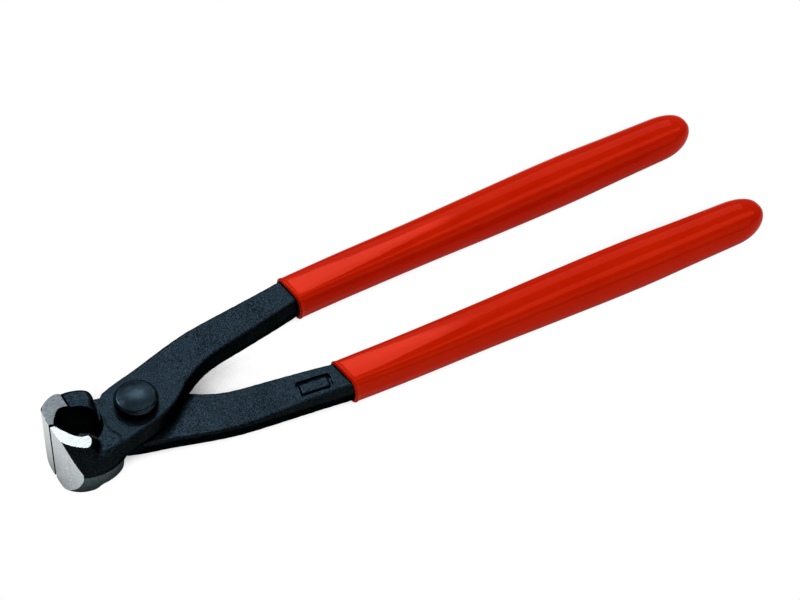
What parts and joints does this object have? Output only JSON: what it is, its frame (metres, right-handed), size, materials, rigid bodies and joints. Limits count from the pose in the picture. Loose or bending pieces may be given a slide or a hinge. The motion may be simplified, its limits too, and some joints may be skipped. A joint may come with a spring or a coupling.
{
  "type": "end cutting nippers",
  "caption": "End cutting nippers: forged levers that cross on a rivet, with broad cutting edges square to the handles and dipped plastic grips.",
  "frame": {"origin": "on the pivot axis, at the flat underside of the rivet", "axes": "+X from the pivot to the ends of the handles, +Y towards the upper lever's handle, +Z along the pivot axis to the button head"},
  "size_m": [0.22, 0.0546, 0.022],
  "materials": {
    "forged_steel": "blackened forged steel with a fine grain, ground bright on the cutting faces",
    "rivet_steel": "smooth blackened steel, satin",
    "grip_plastic": "red dipped plastic, glossy"
  },
  "bodies": {
    "upper": {"upper_lever": "forged_steel", "upper_grip": "grip_plastic", "pivot_rivet": "rivet_steel"},
    "lower": {"lower_lever": "forged_steel", "lower_grip": "grip_plastic"}
  },
  "joints": [
    {"name": "pivot", "type": "hinge", "parent": "upper", "child": "lower", "pos_m": [0, 0, 0.0085], "axis": [0, 0, -1], "range_deg": [0, 25]}
  ]
}
